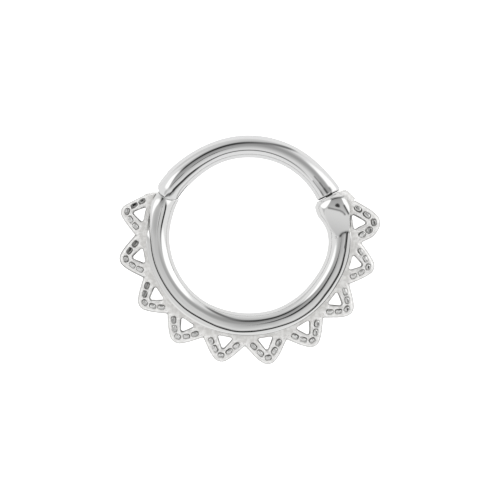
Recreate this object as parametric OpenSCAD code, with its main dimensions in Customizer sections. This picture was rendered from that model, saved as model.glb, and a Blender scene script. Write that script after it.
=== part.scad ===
// Hinged segment ring for a piercing, with a sunburst of pierced triangles round its fixed part.
// It lies on its side: +Z is the ring's axis, +Y points through the middle of the plain bar.
// The origin is the centre of the opening, half way through the ring. Millimetres.

/* [Ring] */
// Radius of the ring's centre line
ring_r = 4.84; // [4.7:0.02:5]
// Thickness of the round wire
wire_d = 1.2; // [1.1:0.02:1.3]

/* [Hinge] */
// Angle of the hinge pin round the ring
pin_angle = 147.6; // [145:0.2:150]
// Distance of the hinge pin from the centre of the ring
pin_r = 4.92; // [4.86:0.02:4.96]
// Thickness of the hinge pin
pin_d = 0.5; // [0.4:0.02:0.56]
// Radius of the bar's rounded end about the pin
knuckle_r = 0.74; // [0.72:0.01:0.78]
// Thickness of the tongue that the bar's fork takes
tongue_t = 0.44; // [0.36:0.02:0.5]
// Half width of the tongue, and radius of its round end
tongue_r = 0.46; // [0.42:0.02:0.48]
// Running gap between the bar and the fixed part
gap = 0.04; // [0.02:0.01:0.06]

/* [Clasp] */
// Angle of the seam where the bar shuts against the bud
seam_angle = 26; // [25:0.5:27]
// Greatest radius of the bud
bud_r = 0.87; // [0.8:0.01:0.9]
// Thickness of the peg that locks the bar
peg_d = 0.4; // [0.3:0.02:0.44]
// Length of the peg beyond the seam
peg_l = 0.34; // [0.25:0.01:0.4]

/* [Ornament] */
// Thickness of the flange and the triangles
plate_t = 0.8; // [0.7:0.02:0.84]
// Width of the flange from the centre line to the valley between two triangles
flange_w = 1.15; // [1.12:0.01:1.18]
// Number of triangles
tooth_count = 10; // [10:1:10]
// Angle of the triangle beside the hinge
tooth_first = 169; // [168.5:0.5:169.5]
// Angle from one triangle to the next
tooth_pitch = 22; // [21.9:0.1:22.1]
// Distance of a triangle's tip from the centre line
tooth_tip = 2.19; // [2.1:0.01:2.3]
// Roundness of the tip
tooth_round = 0.45; // [0.4:0.01:0.5]
// Slope of a leg, as an angle from the radius
tooth_slope = 38.7; // [38:0.1:39.5]
// Width of the outer rim
rim_w = 0.1; // [0.08:0.01:0.12]
// Width of the channel that holds the beads
channel_w = 0.34; // [0.33:0.01:0.36]
// Depth of the channel
channel_depth = 0.15; // [0.1:0.01:0.2]
// Length of a bead along the leg
bead_l = 0.42; // [0.36:0.01:0.44]
// Width of a bead
bead_w = 0.31; // [0.26:0.01:0.32]

/* [Hidden] */

wire_r = wire_d / 2;
tall = 4;
fine = 64;

// Outline of the bud: distance back from the seam along its axis, and share of its greatest radius.
BUD = [
    [-0.3, 0], [-0.3, 0.62], [0, 0.76], [0.1, 0.84], [0.25, 0.93], [0.42, 0.985], [0.6, 1], [0.8, 0.985],
    [1, 0.95], [1.2, 0.885], [1.4, 0.81], [1.6, 0.745], [1.8, 0.7], [2.05, 0.66], [2.05, 0]
];
// The bud's axis is the chord that runs this far round the ring from the seam.
bud_span = 22;

// Ends of the flange: angle, and distance of the edge from the centre line.
START_EDGE = [[155.5, 0.6], [157, 0.87]];
END_EDGE = [[378, 1.24], [380, 1.19], [382, 1.11], [384, 1.01], [385, 0.92], [385.4, 0.8]];

// Beads on one leg, then the bead at the tip: distance from the radius, and from the centre line.
LEG_BEADS = [[0.68, 1.18], [0.38, 1.55]];
TIP_BEAD = [0, 1.84];

// Corners of the pierced hole, measured as the beads are, and how round they are.
HOLE = [[-0.45, 0.8], [0.45, 0.8], [0, 1.52]];
hole_round = 0.07;
channel_base = 0.98;
channel_crown = 1.61;

function polar(r, angle) = [r * cos(angle), r * sin(angle)];

// Points that round the corner b between its neighbours a and c.
function corner(a, b, c, r, steps = 4) =
    let (
        u = (a - b) / norm(a - b),
        v = (c - b) / norm(c - b),
        half = acos(u * v) / 2,
        middle = b + (u + v) / norm(u + v) * r / sin(half),
        start = b + u * r / tan(half) - middle,
        end = b + v * r / tan(half) - middle,
        from = atan2(start.y, start.x),
        turn = (atan2(end.y, end.x) - from + 540) % 360 - 180
    )
    [for (i = [0:steps]) middle + polar(r, from + turn * i / steps)];

function rounded(points, r) =
    let (n = len(points))
    [for (i = [0:n - 1]) each corner(points[(i + n - 1) % n], points[i], points[(i + 1) % n], r)];

// Round wire that follows the centre line from one angle to another.
module wire(from, to) {
    rotate_extrude(angle = to - from, start = from, $fn = 4 * fine)
        translate([ring_r, 0]) circle(r = wire_r, $fn = fine / 2);
}

// Hinge: x runs from the pin along the bar, y points out of the ring.
pin_at = polar(pin_r, pin_angle);
seat_r = knuckle_r + gap;
fork_gap = tongue_t + 2 * gap;
fork_depth = tongue_r + gap;
knuckle_end = pin_angle + 11;

module at_pin() {
    translate([pin_at.x, pin_at.y, 0]) rotate([0, 0, pin_angle - 90]) children();
}

// Clasp: the peg points back along the circle that the bar's end swings on.
seam_gap = gap / ring_r * 180 / PI;
latch_at = polar(ring_r, seam_angle);
swing = latch_at - pin_at;
peg_turn = atan2(swing.y, swing.x) - 90;
peg_root = 0.35;

module latch_peg(d, length) {
    translate([latch_at.x, latch_at.y, 0])
        rotate([0, 0, peg_turn])
            rotate([0, 90, 0])
                translate([0, 0, -peg_root])
                    cylinder(d = d, h = peg_root + length, $fn = fine / 2);
}

module bud() {
    translate([latch_at.x, latch_at.y, 0])
        rotate([0, 0, seam_angle - 90 - bud_span / 2])
            rotate([0, 90, 0])
                rotate_extrude($fn = fine)
                    polygon([for (row = BUD) [bud_r * row[1], row[0]]]);
}

// Everything on the bar's side of the seam.
module past_seam() {
    rotate([0, 0, seam_angle - seam_gap])
        translate([ring_r - 1.3, 0, -tall / 2]) cube([2.6, 1.5, tall]);
}

// Triangles: x runs along the ring, y is the distance from the centre line.
outer_line = (tooth_tip - tooth_round) * sin(tooth_slope) + tooth_round;
function leg_x(inset, y) = (outer_line - inset - y * sin(tooth_slope)) / cos(tooth_slope);
function leg_peak(inset) = (outer_line - inset) / sin(tooth_slope);

function tip(inset) =
    let (foot = leg_x(inset, channel_base))
    corner([foot, channel_base], [0, leg_peak(inset)], [-foot, channel_base], tooth_round - inset, 8);

inner_inset = rim_w + channel_w;
channel_foot = [leg_x(rim_w, channel_base), leg_x(inner_inset, channel_base)];
crown_x = leg_x(inner_inset, channel_crown);
channel_outline = concat(
    [[channel_foot[0], channel_base]],
    tip(rim_w),
    [[-channel_foot[0], channel_base], [-channel_foot[1], channel_base]],
    [[-crown_x, channel_crown], [crown_x, channel_crown], [channel_foot[1], channel_base]]
);

tooth_angles = [for (i = [0:tooth_count - 1]) tooth_first + i * tooth_pitch];
plate_top = plate_t / 2;
floor_z = plate_top - channel_depth;

// A point of a triangle, turned to its place on the ring.
function placed(p, angle) =
    [p.x * sin(angle) + (ring_r + p.y) * cos(angle), (ring_r + p.y) * sin(angle) - p.x * cos(angle)];

plate_edge = concat(
    [for (row = START_EDGE) polar(ring_r + row[1], row[0])],
    [for (a = tooth_angles) each concat(
        [polar(ring_r + flange_w, a - tooth_pitch / 2)],
        [for (p = tip(0)) placed(p, a)])],
    [for (row = END_EDGE) polar(ring_r + row[1], row[0])]
);
// The plate ends inside the wire, clear of the bar's knuckle.
plate_inner = let (from = END_EDGE[len(END_EDGE) - 1][0], to = knuckle_end)
    [for (i = [0:24]) polar(ring_r, from + (to - from) * i / 24)];

module at_teeth() {
    for (a = tooth_angles)
        rotate([0, 0, a - 90]) translate([0, ring_r, 0]) children();
}

// A bead is a pebble with its long axis along x.
module bead() {
    for (side = [-1, 1])
        translate([side * (bead_l - bead_w) / 2, 0, 0]) sphere(d = bead_w, $fn = 24);
}

module beads() {
    translate([0, 0, floor_z]) {
        for (side = [-1, 1])
            for (p = LEG_BEADS)
                translate([side * p.x, p.y, 0]) rotate([0, 0, side * (tooth_slope - 90)]) bead();
        translate([TIP_BEAD.x, TIP_BEAD.y, 0]) bead();
    }
}

module ornament() {
    difference() {
        translate([0, 0, -plate_top]) linear_extrude(plate_t) polygon(concat(plate_edge, plate_inner));
        at_teeth() {
            translate([0, 0, -tall / 2]) linear_extrude(tall) polygon(rounded(HOLE, hole_round));
            translate([0, 0, floor_z]) linear_extrude(tall) polygon(channel_outline);
        }
    }
    at_teeth() beads();
}

module ring_body() {
    color("silver")
    difference() {
        union() {
            difference() {
                union() {
                    wire(pin_angle, seam_angle + 360 - seam_gap);
                    bud();
                }
                past_seam();
                at_pin() cylinder(r = seat_r, h = tall, center = true, $fn = fine);
            }
            ornament();
            at_pin() linear_extrude(tongue_t, center = true) {
                circle(r = tongue_r, $fn = fine);
                translate([-seat_r - 0.2, -tongue_r]) square([seat_r + 0.2, 2 * tongue_r]);
            }
        }
        at_pin() cylinder(d = pin_d + 2 * gap, h = tall, center = true, $fn = fine);
        latch_peg(peg_d + 3 * gap, peg_l + 2 * gap);
    }
}

module hinged_bar() {
    color("gainsboro")
    difference() {
        union() {
            wire(seam_angle, knuckle_end);
            latch_peg(peg_d, peg_l);
        }
        at_pin() {
            difference() {
                translate([-2, -1.5, -tall / 2]) cube([2, 3, tall]);
                cylinder(r = knuckle_r, h = 2 * tall, center = true, $fn = fine);
            }
            translate([-2, -1.5, -fork_gap / 2]) cube([2 + fork_depth, 3, fork_gap]);
            cylinder(d = pin_d, h = tall, center = true, $fn = fine);
        }
    }
}

module hinge_pin() {
    color("lightgray")
    intersection() {
        wire(pin_angle - 9, pin_angle + 9);
        at_pin() cylinder(d = pin_d, h = tall, center = true, $fn = fine);
    }
}

ring_body();
hinged_bar();
hinge_pin();
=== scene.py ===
# %% [markdown]
# # A hinged nose ring with a sunburst of pierced triangles
#
# The ring lies on its side on a white table, and the camera looks straight down on it. It is small: the wire
# is 1.2 mm thick and the whole ring 14 mm across. A plain polished bar swings open on a pin. The fixed part
# is cast in one piece: a tube, a leaf-shaped bud that takes the bar's end, and ten pierced triangles.
#
# Polished metal shows the room, so half of this lesson is about shape and the other half about the room.
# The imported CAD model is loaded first. It fixes where everything goes.

import math
import random
from functools import partial

import bmesh
import bpy
from mathutils import Matrix, Vector, noise


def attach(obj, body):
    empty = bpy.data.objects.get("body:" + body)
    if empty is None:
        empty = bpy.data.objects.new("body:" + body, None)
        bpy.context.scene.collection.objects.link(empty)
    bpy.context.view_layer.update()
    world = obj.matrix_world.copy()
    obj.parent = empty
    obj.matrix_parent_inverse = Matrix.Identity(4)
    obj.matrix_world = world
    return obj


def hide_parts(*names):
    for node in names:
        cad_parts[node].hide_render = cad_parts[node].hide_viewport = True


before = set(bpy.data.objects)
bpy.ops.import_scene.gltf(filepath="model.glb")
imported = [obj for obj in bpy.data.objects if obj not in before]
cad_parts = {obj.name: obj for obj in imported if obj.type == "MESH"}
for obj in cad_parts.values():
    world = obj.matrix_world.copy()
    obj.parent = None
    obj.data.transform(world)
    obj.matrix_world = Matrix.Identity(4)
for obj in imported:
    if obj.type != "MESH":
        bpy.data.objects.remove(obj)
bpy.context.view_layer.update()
print("CAD nodes:", sorted(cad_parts))

# %% [markdown]
# ## Camera
#
# The ring is seen straight down its axis, from the side that has the beads. A long lens from 75 mm away
# sees 27 mm of the table, as a jeweller's macro picture does. The camera stands a little off the ring's
# centre, because the ring isn't in the middle of the picture.

# %% Camera
MM = 0.001
CAMERA_AT = Vector((0.065, -0.81, 75.08))
camera_data = bpy.data.cameras.new("camera")
camera_data.lens = 100
camera_data.sensor_width = 36
camera_data.clip_start = 0.001
camera_data.clip_end = 20
camera = bpy.data.objects.new("camera", camera_data)
camera.location = CAMERA_AT * MM
bpy.context.scene.collection.objects.link(camera)
bpy.context.scene.camera = camera
print("camera looks down from", CAMERA_AT.z, "mm")

# %% [markdown]
# ## Node shorthand
#
# Shader trees are built from many small nodes. These helpers add a node, set its options and fill or link its
# inputs by name or number, so that a tree reads from top to bottom like a recipe. The last two start and end
# a node group, which is an effect that more than one material can use.


# %% Node shorthand
def add_node(tree, kind, inputs=None, **options):
    node = tree.nodes.new(kind)
    for option, value in options.items():
        setattr(node, option, value)
    for key, value in (inputs or {}).items():
        if isinstance(value, bpy.types.NodeSocket):
            tree.links.new(value, node.inputs[key])
        else:
            node.inputs[key].default_value = value
    return node


def calc(tree, operation, a, b=0.0, c=0.0):
    return add_node(tree, "ShaderNodeMath", {0: a, 1: b, 2: c}, operation=operation).outputs[0]


def ramp_between(tree, value, low, high, to_low=0.0, to_high=1.0):
    settings = {"Value": value, "From Min": low, "From Max": high, "To Min": to_low, "To Max": to_high}
    node = add_node(tree, "ShaderNodeMapRange", settings, interpolation_type="SMOOTHSTEP")
    return node.outputs["Result"]


def mix_colour(tree, share, first, second):
    return add_node(tree, "ShaderNodeMix", {0: share, 6: first, 7: second}, data_type="RGBA").outputs[2]


def attribute(tree, name):
    return add_node(tree, "ShaderNodeAttribute", attribute_name=name).outputs["Fac"]


def noise_at(tree, place, scale, detail):
    settings = {"Vector": place, "Scale": scale, "Detail": detail}
    return add_node(tree, "ShaderNodeTexNoise", settings).outputs["Fac"]


def start_group(name, takes, gives):
    """A node group with named inputs and outputs: colours where the name says so, or else numbers."""
    group = bpy.data.node_groups.new(name, "ShaderNodeTree")
    for way, sockets in (("INPUT", takes), ("OUTPUT", gives)):
        for socket in sockets:
            kind = "NodeSocketColor" if "Colour" in socket else "NodeSocketFloat"
            group.interface.new_socket(socket, in_out=way, socket_type=kind)
    return group, group.nodes.new("NodeGroupInput").outputs


def end_group(group, results):
    end = group.nodes.new("NodeGroupOutput")
    for socket, value in results.items():
        group.links.new(value, end.inputs[socket])
    print(f"group {group.name}: {len(group.nodes)} nodes")
    return group


# %% [markdown]
# ## The studio
#
# Jewellery is photographed in a white tent. The metal shows the tent all round, a gray card above with the
# lens looking through it, and the dark gaps round the card. Those gaps draw the thin dark lines along the
# tube. Here the tent is the world: each card or gap is a soft patch at its place in the sky.
#
# A direction is given as on a sky map: (u, w) is the angle down from straight overhead, in degrees, towards
# +X and towards +Y.

# %% A soft patch on the sky map
PATCH_NUMBERS = ("centre u", "centre w", "half u", "half w", "turn", "square", "soft")


def make_patch_group():
    group, given = start_group("soft patch", ("u", "w", *PATCH_NUMBERS), ("mask",))
    do = partial(calc, group)
    away_u = do("SUBTRACT", given["u"], given["centre u"])
    away_w = do("SUBTRACT", given["w"], given["centre w"])
    turn = do("RADIANS", given["turn"])
    cosine, sine = do("COSINE", turn), do("SINE", turn)
    along = do("ADD", do("MULTIPLY", away_u, cosine), do("MULTIPLY", away_w, sine))
    across = do("SUBTRACT", do("MULTIPLY", away_w, cosine), do("MULTIPLY", away_u, sine))
    p = do("POWER", do("ABSOLUTE", do("DIVIDE", along, given["half u"])), given["square"])
    q = do("POWER", do("ABSOLUTE", do("DIVIDE", across, given["half w"])), given["square"])
    reach = do("POWER", do("ADD", p, q), do("DIVIDE", 1.0, given["square"]))
    inner = do("SUBTRACT", 1.0, given["soft"])
    outer = do("ADD", 1.0, given["soft"])
    return end_group(group, {"mask": ramp_between(group, reach, inner, outer, 1.0, 0.0)})


soft_patch = make_patch_group()

# %% [markdown]
# The patches are laid over each other in order, as paper cut-outs would be. The last number is the
# brightness of each one. The lens comes last. A broad lamp overhead lifts the satin metal. It is left out of
# mirror images, because the polished metal would show it as a bright disc.

# %% The tent, the card and the gaps round it
TENT = 0.92
SKY = [
    # name, centre u, centre w, half u, half w, turn, squareness, softness, brightness
    ("far wall", -14, 67, 56, 13, 0, 2.5, 0.3, 0.74),
    ("card", 0, -6, 34, 38, 0, 4, 0.08, 0.84),
    ("card shade", 0, 22, 26, 30, 0, 2, 0.8, 0.38),
    ("far gap", -8, 31, 18, 9, 41, 2, 0.6, 0.04),
    ("far gap right", 20, 57, 27, 6, 45, 2, 0.6, 0.2),
    ("near gap", 0, -43, 38, 5, 0, 4, 0.6, 0.18),
    ("right gap", 35, -17, 6.5, 23, 8, 3, 0.4, 0.04),
    ("near right corner", 34, -32, 7, 9, 0, 2, 0.4, 0.04),
    ("near right turn", 27, -39, 11, 4, 39, 2, 0.4, 0.06),
    ("right wall light", 58, 26, 32, 26, 30, 2.5, 0.2, 1.3),
    ("left wall light", -37, 20, 17, 14, 10, 2, 0.3, 1.3),
    ("left card", -38, -12, 14, 12, 0, 3, 0.3, 0.62),
    ("lens", 3.3, -2.7, 2.8, 2.8, 0, 2, 0.3, 0.04),
]
TOP_LIGHT_POWER = 0.5
TOP_LIGHT_SPREAD = 60


def build_sky():
    world = bpy.data.worlds.new("white tent")
    bpy.context.scene.world = world
    world.use_nodes = True
    tree = world.node_tree
    tree.nodes.clear()
    do = partial(calc, tree)
    direction = add_node(tree, "ShaderNodeTexCoord").outputs["Generated"]
    x, y, z = add_node(tree, "ShaderNodeSeparateXYZ", {0: direction}).outputs
    down = do("DEGREES", do("ARCCOSINE", do("MINIMUM", do("MAXIMUM", z, -1.0), 1.0)))
    level = do("SQRT", do("ADD", do("MULTIPLY", x, x), do("MULTIPLY", y, y)))
    level = do("MAXIMUM", level, 0.00001)
    u = do("MULTIPLY", down, do("DIVIDE", x, level))
    w = do("MULTIPLY", down, do("DIVIDE", y, level))
    brightness = TENT
    for name, *numbers, value in SKY:
        patch = add_node(tree, "ShaderNodeGroup", {"u": u, "w": w}, node_tree=soft_patch, label=name)
        for key, number in zip(PATCH_NUMBERS, numbers):
            patch.inputs[key].default_value = number
        settings = {0: patch.outputs["mask"], 2: brightness, 3: value}
        brightness = add_node(tree, "ShaderNodeMix", settings, data_type="FLOAT").outputs[0]
    light = add_node(tree, "ShaderNodeBackground", {"Strength": brightness, "Color": (1, 1, 1, 1)})
    tree.links.new(light.outputs[0], add_node(tree, "ShaderNodeOutputWorld").inputs[0])


def build_top_light():
    lamp = bpy.data.lights.new("top light", "SUN")
    lamp.energy = TOP_LIGHT_POWER
    lamp.angle = math.radians(TOP_LIGHT_SPREAD)
    top_light = bpy.data.objects.new("top light", lamp)
    top_light.visible_glossy = False
    bpy.context.scene.collection.objects.link(top_light)


build_sky()
build_top_light()
bpy.context.scene.view_settings.view_transform = "Standard"
bpy.context.scene.view_settings.look = "None"
print("the sky has", len(SKY), "patches")

# %% [markdown]
# ## The table
#
# The ring lies on a sheet that glows from below, like a light table, so it is pure white in the picture and
# shows no shadow. The metal sees a duller sheet than the camera does. A Light Path node tells the two apart,
# and without it the undersides of the wire would burn out.

# %% Light table
FLOOR_Z = -0.88
SHEET_HALF = 1.5
GLOW_ON_METAL = (0.5, 0.5, 0.5, 1)


def build_table():
    material = bpy.data.materials.new("light table")
    material.use_nodes = True
    tree = material.node_tree
    shader = tree.nodes["Principled BSDF"]
    shader.inputs["Base Color"].default_value = (0.5, 0.5, 0.5, 1)
    shader.inputs["Roughness"].default_value = 0.9
    shader.inputs["Specular IOR Level"].default_value = 0.0
    shader.inputs["Emission Strength"].default_value = 1.0
    seen = add_node(tree, "ShaderNodeLightPath").outputs["Is Camera Ray"]
    tree.links.new(mix_colour(tree, seen, GLOW_ON_METAL, (1, 1, 1, 1)), shader.inputs["Emission Color"])
    bm = bmesh.new()
    place = Matrix.Translation((0, 0, FLOOR_Z * MM))
    bmesh.ops.create_grid(bm, x_segments=1, y_segments=1, size=SHEET_HALF, matrix=place)
    mesh = bpy.data.meshes.new("table")
    bm.to_mesh(mesh)
    bm.free()
    table = bpy.data.objects.new("table", mesh)
    table.data.materials.append(material)
    bpy.context.scene.collection.objects.link(table)


build_table()
print("table at z =", FLOOR_Z, "mm")

# %% [markdown]
# ## Metal finishes
#
# Silver-coloured metal is nearly gray: its colour is only how much of the room it gives back. What makes it
# real is what was done to it. The bar was polished on a wheel, so it has a mirror skin with faint marks.
# The casting is mirror bright where the wheel reached it, and satin, a little mottled, where it didn't.
# Two node groups hold what the finishes share. Their patterns are measured in waves per metre.

# %% Wheel marks and cast skin
HAZE, WHEEL_WAVES = 700.0, 900.0
MOTTLE, GRAIN = 5200.0, 16000.0


def make_wheel_group():
    group, given = start_group("wheel marks", ("Smooth", "Hazy"), ("Roughness", "Height"))
    place = add_node(group, "ShaderNodeTexCoord").outputs["Object"]
    haze = ramp_between(group, noise_at(group, place, HAZE, 3.0), 0.35, 0.75)
    span = calc(group, "SUBTRACT", given["Hazy"], given["Smooth"])
    rough = calc(group, "MULTIPLY_ADD", haze, span, given["Smooth"])
    return end_group(group, {"Roughness": rough, "Height": noise_at(group, place, WHEEL_WAVES, 1.0)})


def make_cast_group():
    takes = ("Wear And Shade", "Satin", "Bright", "Light Colour", "Dark Colour")
    group, given = start_group("cast skin", takes, ("Colour", "Roughness", "Height"))
    do = partial(calc, group)
    place = add_node(group, "ShaderNodeTexCoord").outputs["Object"]
    mottle = noise_at(group, place, MOTTLE, 4.0)
    patchy = ramp_between(group, mottle, 0.38, 0.66)
    shown = do("MULTIPLY_ADD", patchy, 0.4, do("MULTIPLY", given["Wear And Shade"], 0.6))
    colour = mix_colour(group, shown, given["Dark Colour"], given["Light Colour"])
    span = do("SUBTRACT", given["Bright"], given["Satin"])
    rough = do("MULTIPLY_ADD", given["Wear And Shade"], span, given["Satin"])
    rough = do("MULTIPLY_ADD", do("SUBTRACT", patchy, 0.5), 0.08, rough)
    height = do("MULTIPLY_ADD", noise_at(group, place, GRAIN, 2.0), 0.3, mottle)
    height = do("MULTIPLY", height, do("MULTIPLY_ADD", given["Wear And Shade"], -0.75, 1.0))
    return end_group(group, {"Colour": colour, "Roughness": rough, "Height": height})


wheel_marks = make_wheel_group()
cast_skin = make_cast_group()

# %% [markdown]
# Each finish is one material round a Principled shader. The meshes bring their own marks, one number at each
# vertex. One darkens the colour: painted shade in creases, gaps and pockets, and painted dark reflections.
# One lightens the polished metal: a painted highlight. One is where the drum rubbed the cast skin lighter and
# smoother, and it is also painted shade, darker low down and in the pockets. The materials only read them.

# %% The finishes
HIGHLIGHT_COLOUR = (1, 1, 0.99, 1)
SHADE_COLOUR = (0.1, 0.1, 0.095, 1)
WHEEL_DEPTH, CAST_DEPTH = 0.00001, 0.00002


def metal(name, metallic):
    material = bpy.data.materials.new(name)
    material.use_nodes = True
    material.node_tree.nodes["Principled BSDF"].inputs["Metallic"].default_value = metallic
    return material, material.node_tree


def put_on(tree, colour, marks, strength, depth):
    """Links the colour, and the roughness and bumps of a group of marks, to the Principled shader."""
    shader = tree.nodes["Principled BSDF"]
    bump = add_node(tree, "ShaderNodeBump", {"Strength": strength, "Distance": depth})
    tree.links.new(marks.outputs["Height"], bump.inputs["Height"])
    tree.links.new(colour, shader.inputs["Base Color"])
    tree.links.new(marks.outputs["Roughness"], shader.inputs["Roughness"])
    tree.links.new(bump.outputs[0], shader.inputs["Normal"])


def polished_metal(name, colour, smooth, hazy):
    material, tree = metal(name, 1.0)
    marks = add_node(tree, "ShaderNodeGroup", {"Smooth": smooth, "Hazy": hazy}, node_tree=wheel_marks)
    # Painted highlights lighten the metal's colour; painted shade and painted dark reflections darken it.
    bright = mix_colour(tree, attribute(tree, "painted_highlight"), colour, HIGHLIGHT_COLOUR)
    dark = tuple(0.1 * c for c in colour[:3]) + (1,)
    put_on(tree, mix_colour(tree, attribute(tree, "painted_dark"), bright, dark), marks, 0.06, WHEEL_DEPTH)
    return material


def cast_metal(name, light, dark, metallic, satin, bright, strength):
    material, tree = metal(name, metallic)
    values = {"Satin": satin, "Bright": bright, "Light Colour": light, "Dark Colour": dark}
    skin = add_node(tree, "ShaderNodeGroup", values, node_tree=cast_skin)
    tree.links.new(attribute(tree, "wear_and_shade"), skin.inputs["Wear And Shade"])
    # Painted shade and painted dark reflections darken the skin's colour.
    shaded = mix_colour(tree, attribute(tree, "painted_dark"), skin.outputs["Colour"], SHADE_COLOUR)
    put_on(tree, shaded, skin, strength, CAST_DEPTH)
    return material


bar_finish = polished_metal("polished bar", (0.79, 0.79, 0.79, 1), 0.02, 0.06)
tube_finish = polished_metal("polished casting", (0.79, 0.79, 0.785, 1), 0.03, 0.07)
satin_finish = cast_metal("satin casting", (1, 0.995, 0.985, 1), (0.6, 0.59, 0.57, 1), 0.35, 0.5, 0.22, 0.8)
pebble_finish = cast_metal("bright pebbles", (0.93, 0.93, 0.92, 1), (0.6, 0.6, 0.59, 1), 1.0, 0.3, 0.12, 0.3)
print("finishes:", [m.name for m in bpy.data.materials])

# %% [markdown]
# ## The line of the ring
#
# A real ring is bent over a mandrel and filed by hand, so it is never a perfect circle, and its section
# changes on the way round. These tables hold its line: at each angle, measured counter-clockwise from +X,
# how far the middle of the wire is from the ring's centre. A smooth curve runs through the rows, because a
# polished surface shows every kink.

# %% The line of the ring
RING_R = 4.84
WIRE_R = 0.6
LINE = [
    # angle, radius of the middle of the wire
    (26, 4.815), (45, 4.79), (110, 4.79), (120, 4.81), (130, 4.85), (140, 4.9), (147.6, 4.94), (155, 4.94),
    (165, 4.92), (175, 4.92), (185, 4.935), (195, 4.945), (210, 4.92), (225, 4.91), (240, 4.87), (255, 4.82),
    (270, 4.79), (330, 4.82), (340, 4.87), (350, 4.9), (358, 4.89), (364, 4.85), (372, 4.83), (386, 4.815),
]


def smooth_value(rows, at, column=1):
    """A column of the table at an angle, on a smooth curve through the rows that never overshoots."""
    if at <= rows[0][0]:
        return rows[0][column]
    if at >= rows[-1][0]:
        return rows[-1][column]
    k = max(i for i in range(len(rows) - 1) if rows[i][0] <= at)

    def rise(i):
        return (rows[i + 1][column] - rows[i][column]) / (rows[i + 1][0] - rows[i][0])

    def slope(i):
        if i == 0 or i == len(rows) - 1:
            return 0.0
        before, after = rise(i - 1), rise(i)
        return 0.0 if before * after <= 0 else 2 * before * after / (before + after)

    width = rows[k + 1][0] - rows[k][0]
    t = (at - rows[k][0]) / width
    first, last = rows[k][column], rows[k + 1][column]
    lift = t * t * (3 - 2 * t)
    bend = width * (slope(k) * t * (1 - t) ** 2 - slope(k + 1) * t * t * (1 - t))
    return first + (last - first) * lift + bend


def step_up(x, low, high):
    """0 below low, 1 above high, and a smooth step between them."""
    t = min(1.0, max(0.0, (x - low) / (high - low)))
    return t * t * (3 - 2 * t)


def polar(r, angle, z=0.0):
    return Vector((r * math.cos(math.radians(angle)), r * math.sin(math.radians(angle)), z))


def ring_angle(co, first):
    """Angle round the ring, counted on from the first angle."""
    angle = math.degrees(math.atan2(co.y, co.x)) % 360
    return angle if angle >= first - 1 else angle + 360


radii = [smooth_value(LINE, a) for a in range(26, 387)]
print(f"middle of the wire: {min(radii):.3f} to {max(radii):.3f} mm from the centre")

# %% [markdown]
# ## Making pieces
#
# Every piece is modelled in millimetres in a bmesh and becomes an object in metres here. It takes its
# finish, rides on its body, and stands for its CAD node. Faces meeting at more than the given angle keep a
# sharp edge between them. Two tools for closed loops of vertices follow: one finds the open rim of a piece,
# the other extrudes a loop to new places, which is how most shapes here grow.


# %% From bmesh to piece
def to_mesh(bm, name):
    mesh = bpy.data.meshes.new(name)
    bm.to_mesh(mesh)
    bm.free()
    return mesh


def make_piece(name, bm, material, body, node, sharp=40):
    bmesh.ops.recalc_face_normals(bm, faces=bm.faces[:])
    bmesh.ops.scale(bm, vec=(MM, MM, MM), verts=bm.verts[:])
    for face in bm.faces:
        face.smooth = True
    mesh = to_mesh(bm, name)
    mesh.set_sharp_from_angle(angle=math.radians(sharp))
    piece = bpy.data.objects.new(name, mesh)
    mesh.materials.append(material)
    bpy.context.scene.collection.objects.link(piece)
    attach(piece, body)
    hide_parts(node)
    mesh.calc_loop_triangles()
    print(f"{name}: {len(mesh.loop_triangles)} triangles")


def next_loop(bm, loop, places):
    """Extrudes a closed loop of vertices to the given places, and returns the new ones in order."""
    count = len(loop)
    edges = [bm.edges.get((loop[i], loop[(i + 1) % count])) for i in range(count)]
    made = bmesh.ops.extrude_edge_only(bm, edges=edges)["geom"]
    new = {v for v in made if isinstance(v, bmesh.types.BMVert)}
    following = [next(e.other_vert(v) for e in v.link_edges if e.other_vert(v) in new) for v in loop]
    for vert, place in zip(following, places):
        vert.co = place
    return following


def fill_loop(bm, loop):
    edges = [bm.edges.get((loop[i - 1], loop[i])) for i in range(len(loop))]
    bmesh.ops.edgeloop_fill(bm, edges=edges)


def open_loop_at(bm, test):
    """The open edges whose two ends pass the test, walked round as one closed loop of vertices."""
    edges = {e for e in bm.edges if e.is_boundary and all(test(v) for v in e.verts)}
    start = min((v for e in edges for v in e.verts), key=lambda v: (round(v.co.z, 5), round(v.co.x, 5)))
    loop = [start]
    while True:
        here = loop[-1]
        ahead = [e.other_vert(here) for e in here.link_edges if e in edges]
        ahead = [v for v in ahead if v not in loop[-2:]]
        if not ahead or ahead[0] is start:
            return loop
        loop.append(ahead[0])


def spun_wire(first, last, around, steps):
    """A plain round wire: a circle of vertices, spun about the ring's axis."""
    bm = bmesh.new()
    stand = Matrix.Rotation(math.radians(first), 4, "Z") @ Matrix.Translation((RING_R, 0, 0))
    stand = stand @ Matrix.Rotation(math.radians(90), 4, "X")
    bmesh.ops.create_circle(bm, segments=around, radius=WIRE_R, matrix=stand)
    turn = math.radians(last - first)
    circle = bm.verts[:] + bm.edges[:]
    bmesh.ops.spin(bm, geom=circle, cent=(0, 0, 0), axis=(0, 0, 1), angle=turn, steps=steps)
    return bm


# %% [markdown]
# ## The plain bar
#
# The bar is a round wire. It is made as a wire is bent: a circle is spun about the ring's axis, and then
# every vertex moves to where the table wants it. Close to the pin the bar swells into a knuckle, and its
# end is an arc about the pin, so that it can turn in its seat. The arc comes from the law of cosines: it says
# at which angle a circle about the pin meets each radius of the ring.

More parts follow.
